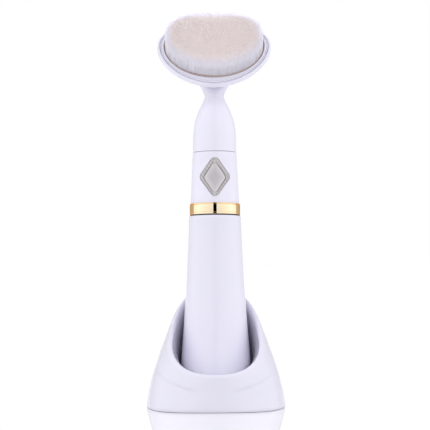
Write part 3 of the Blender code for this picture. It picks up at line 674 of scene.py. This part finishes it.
# ---------------------------------------------------------------- cover, band and body
def make_cover():
    foot_radius, foot_round = cover_radius(3.2), 3.2
    profile = [(COVER_TOP_RADIUS - 1.0, COVER_TOP - 0.7), (COVER_TOP_RADIUS - 0.35, COVER_TOP - 0.05)]
    profile += [(COVER_TOP_RADIUS - 0.25, COVER_TOP), (COVER_TOP_RADIUS - 0.1, COVER_TOP - 0.06)]
    profile += [(cover_radius(h), h) for h in heights(COVER_TOP - 0.3, 3.3, 70)]
    for step in range(13):
        angle = math.pi / 2 * step / 12
        out = foot_radius - foot_round * (1 - math.cos(angle))
        profile.append((out, foot_round * (1 - math.sin(angle))))
    profile += [(0.01, 0), (0.01, 2.0), (foot_radius - 4.0, 2.0)]
    profile += [(foot_radius - COVER_WALL - 0.2, 4.0)]
    profile += [(cover_radius(h) - COVER_WALL, h) for h in heights(12, 48, 13)]
    profile += [(COVER_BORE, 58.0), (COVER_BORE, COVER_TOP - 0.9), (COVER_BORE + 0.2, COVER_TOP - 0.7)]
    add_piece("cover", turned("cover", profile), HANDLE, "battery_cover")


def make_band():
    """The gold band with two grooves and an undercut, and a black ring in the gap under it, which makes the
    line there dark.
    """
    r = BAND_RADIUS
    points = [(r, BAND_TOP, 0.2)]
    for groove, half_width, depth in ((BAND_TOP - 0.5, 0.2, 0.22), (BAND_BOTTOM + 0.9, 0.08, 0.08)):
        points += [(r, groove + half_width, 0.02), (r - depth, groove, 0.02), (r, groove - half_width, 0.02)]
    points += [(r, BAND_BOTTOM, 0.2), (r - 0.5, BAND_BOTTOM + 0.1, 0.1), (r - 0.8, BAND_BOTTOM + 1.0, 0.1)]
    points += [(BAND_BORE, BAND_BOTTOM + 1.0, 0.1), (BAND_BORE, BAND_TOP, 0.1)]
    add_piece("band", turned("band", rounded(points, 5)), HANDLE, "gold_band")

    # A black ring fills the gap between the band and the cover, so the line under the band shows dark.
    top, bottom = BAND_BOTTOM + 0.02, COVER_TOP + 0.05
    dark_ring = [(r - 0.1, top, 0.1), (r - 0.1, bottom, 0.1)]
    dark_ring += [(DARK_RING_BORE, bottom, 0.1), (DARK_RING_BORE, top, 0.1)]
    fit_detail("band_dark_ring", turned("band_dark_ring", rounded(dark_ring)), HANDLE, "handle", "black_plastic")


def diamond_outline(size, corner, grow=0.0, side_steps=20, corner_steps=14):
    """(x, y) points of a diamond with the given half diagonals, its corners rounded with arcs."""
    half_width, half_height, radius = size[0] + grow, size[1] + grow, corner + grow
    slope = math.atan2(half_height, half_width)
    corners = []
    for quarter in range(4):
        facing = quarter * math.pi / 2
        reach, sweep = (half_height, slope) if quarter % 2 else (half_width, math.pi / 2 - slope)
        middle = Vector((math.cos(facing), math.sin(facing))) * (reach - radius / math.cos(sweep))
        for step in range(corner_steps + 1):
            angle = facing + sweep * (2 * step / corner_steps - 1)
            corners.append(middle + radius * Vector((math.cos(angle), math.sin(angle))))
    points = []
    for i, point in enumerate(corners):
        points.append(point)
        if i % (corner_steps + 1) == corner_steps:
            following = corners[(i + 1) % len(corners)]
            points += [point.lerp(following, step / side_steps) for step in range(1, side_steps)]
    return points


def on_body(outline, proud, drop=0.0):
    """Lays an outline of (across, up from the frame's middle) on the body's front, proud of its surface."""
    ring = []
    for x, y in outline:
        height = BUTTON_HEIGHT - drop + y
        radius = body_radius(height) + proud
        ring.append(Vector((x, -math.sqrt(radius * radius - x * x), height)))
    return ring


def make_body():
    """The upper body's shell, with the opening for the button's frame cut out."""
    top = [(BODY_TOP_RADIUS - 0.25, BODY_TOP), (BODY_TOP_RADIUS - 0.06, BODY_TOP - 0.06)]
    low = [(BODY_BOTTOM_RADIUS - 0.06, BODY_BOTTOM + 0.06), (BODY_BOTTOM_RADIUS - 0.25, BODY_BOTTOM)]
    profile = top + [(body_radius(h), h) for h in heights(BODY_TOP - 0.25, BODY_BOTTOM + 0.25, 40)] + low
    profile += [(BODY_BOTTOM_RADIUS - BODY_WALL, BODY_BOTTOM), (BODY_TOP_RADIUS - BODY_WALL, BODY_CEILING)]
    profile += [(BODY_TOP_BORE, BODY_CEILING), (BODY_TOP_BORE, BODY_TOP)]
    body = add_piece("body", turned("body", profile), HANDLE, "body_shell")
    opening = diamond_outline(FRAME_SIZE, FRAME_CORNER, 0.2)
    bar = [[(x, y, BUTTON_HEIGHT + up) for x, up in opening] for y in (-5.0, -14.0)]
    cutter = bpy.data.objects.new("opening", loft("opening", bar, "CAP"))
    bpy.context.scene.collection.objects.link(cutter)
    cutter.matrix_world = HANDLE
    cut = body.modifiers.new("opening", "BOOLEAN")
    cut.object = cutter
    apply_modifiers(body)
    bpy.data.objects.remove(cutter)


def make_button():
    """The diamond frame round the button, and the button with its dished face."""
    outer, hole = (FRAME_SIZE, FRAME_CORNER), (BUTTON_SIZE, BUTTON_CORNER)
    p = FRAME_PROUD
    steps = [(outer, 0.0, -1.5), (outer, 0.0, p - 0.2), (outer, -0.05, p - 0.06), (outer, -0.2, p)]
    steps += [(hole, 0.45, p), (hole, 0.3, p - 0.06), (hole, 0.25, p - 0.2), (hole, 0.25, -1.5)]
    rings = []
    for shape, grow, proud in steps:
        drop = BUTTON_DROP if shape == hole else 0.0
        rings.append(on_body(diamond_outline(*shape, grow), proud, drop))
    add_piece("frame", loft("frame", rings), HANDLE, "button_frame")

    p = BUTTON_PROUD
    steps = [(0.0, p - 0.35), (-0.06, p - 0.14), (-0.22, p - 0.02), (-0.5, p), (-0.9, p - 0.04)]
    rings = [on_body(diamond_outline(*hole, grow), proud, BUTTON_DROP) for grow, proud in steps]
    face = diamond_outline(*hole, -0.9)
    dish = ((0.8, 0.12), (0.6, 0.17), (0.4, 0.2), (0.2, 0.21), (0.02, 0.22))
    for scale, deep in dish:
        rings.append(on_body([(x * scale, y * scale) for x, y in face], p - deep, BUTTON_DROP))
    back = [Vector((point.x, -9.0, point.z)) for point in rings[0]]
    add_piece("button", loft("button", [back] + rings, "CAP"), HANDLE, "power_button")


def apply_modifiers(obj):
    """Makes the evaluated shape the object's own mesh."""
    shape = obj.evaluated_get(bpy.context.evaluated_depsgraph_get())
    mesh = bpy.data.meshes.new_from_object(shape)
    obj.modifiers.clear()
    obj.data = mesh
    mesh.shade_smooth()
    mesh.set_sharp_from_angle(angle=math.radians(35))


# ---------------------------------------------------------------- head and bristles
def swept_rings(start, rise, bend, end, shares):
    """Rings along a curve that leaves the start straight up and reaches the end by way of the bend."""
    rings = []
    for t in shares:
        ring = []
        for a, c, d in zip(start, bend, end):
            b = a + Vector((0, 0, rise))
            early = a * (1 - t) ** 3 + b * 3 * t * (1 - t) ** 2
            ring.append(early + c * 3 * t * t * (1 - t) + d * t**3)
        rings.append(ring)
    return rings


def make_head():
    """The cone, neck and dish in one moulding. Its lip is (grow, height) points on the face's axes."""
    outside = [circle(HEAD_RADIUS - 0.2, HEAD_BOTTOM), circle(HEAD_RADIUS - 0.05, HEAD_BOTTOM + 0.05)]
    outside += [circle(shoulder_radius(h), h) for h in heights(HEAD_BOTTOM + 0.2, 133.8, 50)]
    bend = on_handle(face_outline(RIM, scale=0.75), -DISH_DEPTH)
    end = on_handle(face_outline(RIM, grow=-0.2), -LIP_DEPTH)
    outside += swept_rings(circle(NECK_RADIUS, NECK_HEIGHT), 6.5, bend, end, heights(0.0, 1.0, 60))
    lip = [(-0.1, -2.15), (-0.02, -1.8), (0.0, -1.4), (0.0, -0.9), (-0.05, -0.6), (-0.17, -0.33)]
    lip += [(-0.36, -0.13), (-0.6, -0.02), (-0.85, -0.01), (-1.08, -0.05), (-1.22, -0.13)]
    lip += [(-1.3, -0.27), (-1.32, -SEAT_DEPTH)]
    edge = [on_handle(face_outline(RIM, grow=grow), height) for grow, height in lip]
    bend = on_handle(face_outline(RIM, grow=-4.0, scale=0.8), -DISH_DEPTH + 1.0)
    end = on_handle(face_outline(RIM, grow=-4.6), -SEAT_DEPTH)
    inside = swept_rings(circle(NECK_RADIUS - NECK_WALL, NECK_HEIGHT), 7.5, bend, end, heights(0.0, 1.0, 24))
    bore = [circle(shoulder_radius(h) - NECK_WALL, h) for h in heights(HEAD_BOTTOM, 133.6, 24)]
    rings = outside + edge + list(reversed(bore + inside))
    add_piece("head", loft("head", rings), HANDLE, "head_shell")


def make_ring():
    """The flange round the bristles, with a rounded outer bead, a groove and a flat inner land."""
    inner = face_outline(BASE, grow=0.55, **BASE_POWERS)
    steps = [(0, -2.3), (0, -0.2), (0.015, -0.07), (0.05, 0.04), (0.11, 0.09), (0.2, 0.08)]
    steps += [(0.26, 0.03), (0.3, -0.07), (0.34, -0.17), (0.38, -0.19), (0.42, -0.17), (0.46, -0.05)]
    steps += [(0.5, 0.06), (0.56, 0.14), (0.66, 0.19), (0.88, 0.2), (0.95, 0.15), (0.985, 0.04)]
    steps += [(1, -0.15), (1, -2.3)]
    rings = []
    for share, height in steps:
        ring = []
        for (ox, oy), (ix, iy) in zip(face_outline(RING, grow=0.1), inner):
            ring.append((ox + (ix - ox) * share, oy + (iy - oy) * share, height))
        rings.append(ring)
    add_piece("ring", loft("ring", rings), FACE, "rim_ring")


def make_plate():
    """The plate the bristles stand in, with its edge rounded."""
    rings = []
    for grow, height in ((0.2, -2.3), (0.3, -2.2), (0.3, -0.4), (0.25, -0.29), (0.13, -0.25)):
        outline = face_outline(BASE, grow=grow, **BASE_POWERS)
        rings.append([(x, y, height) for x, y in outline])
    add_piece("plate", loft("plate", rings, "CAP"), FACE, "bristle_plate")


def bristle_point(angle, scale, height):
    """(x, y) of a point in the bristles: scale runs from the middle to the edge, height from the plate up."""
    share = min(1.0, height / (BRISTLE_SIDE * BRISTLE_LENGTH))
    size = [b + (c - b) * share for b, c in zip(BASE, CROWN)]
    far_power = BASE_POWERS["far_power"] + (CROWN_FAR_POWER - BASE_POWERS["far_power"]) * share
    return face_point(size, angle, near_power=CROWN_NEAR_POWER, far_power=far_power, scale=scale)


def crown_grid(spacing, inner, outer, chance):
    """(angle, scale) of the crown's points between two scales, on a jittered grid of triangles."""
    half_width, near, far = CROWN
    spots = []
    for row in range(int((near + far) / spacing / ROW_STEP) + 2):
        for column in range(int(2 * half_width / spacing) + 2):
            x = (column + 0.5 * (row % 2)) * spacing - half_width + chance.normal(0.0, 0.12) * spacing
            y = row * spacing * ROW_STEP - near + chance.normal(0.0, 0.12) * spacing
            power, reach = (CROWN_FAR_POWER, far) if y >= 0 else (CROWN_NEAR_POWER, near)
            across, along = (abs(x) / half_width) ** (power / 2), (abs(y) / reach) ** (power / 2)
            scale = math.hypot(across, along) ** (2 / power)
            if inner <= scale <= outer:
                spots.append((math.atan2(math.copysign(along, y), math.copysign(across, x)), scale))
    return spots


def hairs(name, spacing, inner, outer, stations, radius, seed):
    """Fine hairs between two scales of the crown. A station is a share of the length and of the thickness."""
    chance = np.random.default_rng(seed)
    spots = crown_grid(spacing, inner, outer, chance)
    points, marks = [], []
    for angle, scale in spots:
        length = float(np.interp(scale, CROWN_SCALES, CROWN_HEIGHTS)) * BRISTLE_LENGTH
        length += chance.normal(0.0, LENGTH_NOISE)
        shift = chance.normal(0.0, SHIFT_NOISE, 2)
        lean = chance.normal(0.0, LEAN_NOISE, 2)
        inward = (1 - scale) * math.hypot(*face_point(CROWN, angle)) - max(0.0, 1.2 * math.sin(angle))
        turn = chance.uniform(0.0, 2.1)
        tint = chance.uniform()
        for share, width in stations:
            height = length * share
            x, y = bristle_point(angle, scale, height)
            x += shift[0] + lean[0] * share * share
            y += shift[1] + lean[1] * share * share
            for side in range(HAIR_SIDES):
                around = turn + 2 * math.pi * side / HAIR_SIDES
                offset = radius * width
                points.append((x + offset * math.cos(around), y + offset * math.sin(around), height))
                marks.append((share, inward, tint))
    mesh = bpy.data.meshes.new(name)
    mesh.from_pydata(np.array(points) * MM, [], hair_faces(len(spots), len(stations)))
    mark_points(mesh, np.array(marks))
    mesh.shade_smooth()
    return mesh


def hair_faces(count, levels):
    """The sides and the tip of each hair, as numbers of its points."""
    faces = []
    for i in range(count):
        first = i * HAIR_SIDES * levels
        for level in range(levels - 1):
            low = first + level * HAIR_SIDES
            for side in range(HAIR_SIDES):
                after = (side + 1) % HAIR_SIDES
                high = low + HAIR_SIDES
                faces.append((low + side, low + after, high + after, high + side))
        last = first + (levels - 1) * HAIR_SIDES
        faces.append(tuple(last + side for side in range(HAIR_SIDES)))
    return faces


def mark_points(mesh, marks):
    """Gives each point what the fibres' material reads: its share of the length, distance in, and tint."""
    for column, name in enumerate(("along", "edge", "tint")):
        attribute = mesh.attributes.new(name, "FLOAT", "POINT")
        attribute.data.foreach_set("value", np.ascontiguousarray(marks[:, column], dtype=np.float32))


def make_bristles():
    """A dense core under a fine crown of tips, with longer hairs round the side."""
    rings, marks = [], []
    steps = [(0.955, share) for share in heights(0.002, 0.62, 14)]
    steps += [(0.94, 0.72), (0.9, 0.82), (0.85, 0.88), (0.7, 0.92), (0.45, 0.94)]
    steps += [(0.2, 0.945), (0.01, 0.945)]
    for scale, share in steps:
        height = share * BRISTLE_LENGTH
        ring = []
        for i in range(STEPS):
            x, y = bristle_point(2 * math.pi * i / STEPS, scale, height)
            ring.append((x, y, height))
            marks.append((share, (1 / scale - 1) * math.hypot(x, y), (i * 0.618) % 1.0))
        rings.append(ring)
    core = loft("bristle_core", rings, "CAP")
    mark_points(core, np.array(marks))
    add_piece("bristle_core", core, FACE, "bristles")
    stations = ((0.86, 1.0), (0.97, 0.9), (1.0, 0.4))
    tips = hairs("bristle_tips", 0.27, 0.0, 0.9, stations, 0.07, seed=4)
    add_piece("bristle_tips", tips, FACE, "bristles")
    stations = ((0.0, 1.0), (0.4, 1.0), (0.72, 1.0), (0.95, 0.9), (1.0, 0.4))
    sides = hairs("bristle_sides", 0.22, 0.87, 1.0, stations, 0.055, seed=9)
    add_piece("bristle_sides", sides, FACE, "bristles")


# ---------------------------------------------------------------- inside
def make_inside():
    """Every CAD node that no piece stands for yet, most of them inside. The rubber keeps its own edges."""
    shown = {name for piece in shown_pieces() for name in piece.get("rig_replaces", [])}
    for name in sorted(set(frame["nodes"]) - shown):
        refined(name, 0.1 if SLOTS[name] != "soft_rubber" else 0.0)


# ---------------------------------------------------------------- studio and camera
def make_world():
    """White all round, dimmer behind and straight ahead, with a narrow dark gap at the camera's bearing.

    The gap draws the black stripe on the band. The camera and mirrors see plain white instead.
    """
    world = bpy.data.worlds.new("studio")
    bpy.context.scene.world = world
    world.use_nodes = True
    tree = world.node_tree
    light = tree.nodes["Background"]
    way = node(tree, "SeparateXYZ", {"Vector": node(tree, "TexCoord").outputs["Generated"]}).outputs
    flat = node(tree, "CombineXYZ", {"X": way["X"], "Y": way["Y"]}).outputs[0]
    flat = node(tree, "VectorMath", {0: flat}, operation="NORMALIZE").outputs["Vector"]
    ahead = {0: flat, 1: (0.0, -1.0, 0.0)}
    facing = node(tree, "VectorMath", ahead, operation="DOT_PRODUCT").outputs["Value"]
    behind, beside, gap_start, gap_end = (math.cos(math.radians(angle)) for angle in (116, 112, 8.3, 7.5))
    level = spread(tree, facing, 0.5, 1.0, behind, beside)
    level = calc(tree, "MULTIPLY", level, spread(tree, facing, 1.32, 0.98, 0.2, 1.0))
    level = calc(tree, "MULTIPLY", level, spread(tree, way["Z"], 0.9, 1.3, 0.1, 0.9))
    lit = calc(tree, "MULTIPLY", level, spread(tree, facing, 1.0, 0.0, gap_start, gap_end))
    rays = node(tree, "LightPath").outputs
    plain = calc(tree, "MAXIMUM", rays["Is Camera Ray"], rays["Is Singular Ray"])
    strength = node(tree, "Mix", {0: plain, 2: lit, 3: 1.0}, data_type="FLOAT").outputs[0]
    tree.links.new(strength, light.inputs["Strength"])
    light.inputs["Color"].default_value = (1.0, 1.0, 1.0, 1.0)


def make_floor():
    """A plain pale floor just under the stand, most of it a mirror, with a faint glow of its own."""
    bm = bmesh.new()
    bmesh.ops.create_circle(bm, cap_ends=True, segments=96, radius=0.6)
    floor = bpy.data.objects.new("floor", mesh_from(bm, "floor"))
    bpy.context.scene.collection.objects.link(floor)
    floor.location.z = -0.02 * MM
    tree, shader = surface("pale_floor", Roughness=0.6)
    cloud = noise(tree, 12.0)
    connect(tree, shader, Base_Color=blend(tree, cloud, (0.93, 0.93, 0.935), (0.95, 0.95, 0.955)))
    shader.inputs["Emission Color"].default_value = (1.0, 1.0, 1.0, 1.0)
    shader.inputs["Emission Strength"].default_value = 0.22
    mirror = node(tree, "BsdfGlossy", {"Color": (1.0, 1.0, 1.0, 1.0), "Roughness": 0.0})
    mixed = node(tree, "MixShader", {0: 0.77, 1: shader.outputs[0], 2: mirror.outputs[0]})
    tree.links.new(mixed.outputs[0], tree.nodes["Material Output"].inputs["Surface"])
    floor.data.materials.append(material(tree))


def make_camera():
    """At the photograph's angle: a long lens, just above level, looking at the brush's front."""
    data = bpy.data.cameras.new("camera")
    data.lens = CAMERA_LENS
    data.sensor_width = 36.0
    camera = bpy.data.objects.new("camera", data)
    bpy.context.scene.collection.objects.link(camera)
    back = Vector((0.0, -math.cos(CAMERA_RISE), math.sin(CAMERA_RISE)))
    spot = Matrix.Translation(Vector((0.0, 0.0, CAMERA_AIM)) + back * CAMERA_DISTANCE)
    tilt = Matrix.Rotation(math.pi / 2 - CAMERA_RISE, 4, "X")
    camera.matrix_world = spot @ tilt @ Matrix.Rotation(-CAMERA_ROLL, 4, "Z")
    bpy.context.scene.camera = camera


MATERIALS = make_materials()
make_stand()
make_cover()
make_band()
make_body()
make_button()
make_head()
make_ring()
make_plate()
make_bristles()
make_inside()
make_world()
make_floor()
make_camera()

bpy.context.scene.view_settings.view_transform = "Standard"
bpy.context.view_layer.update()
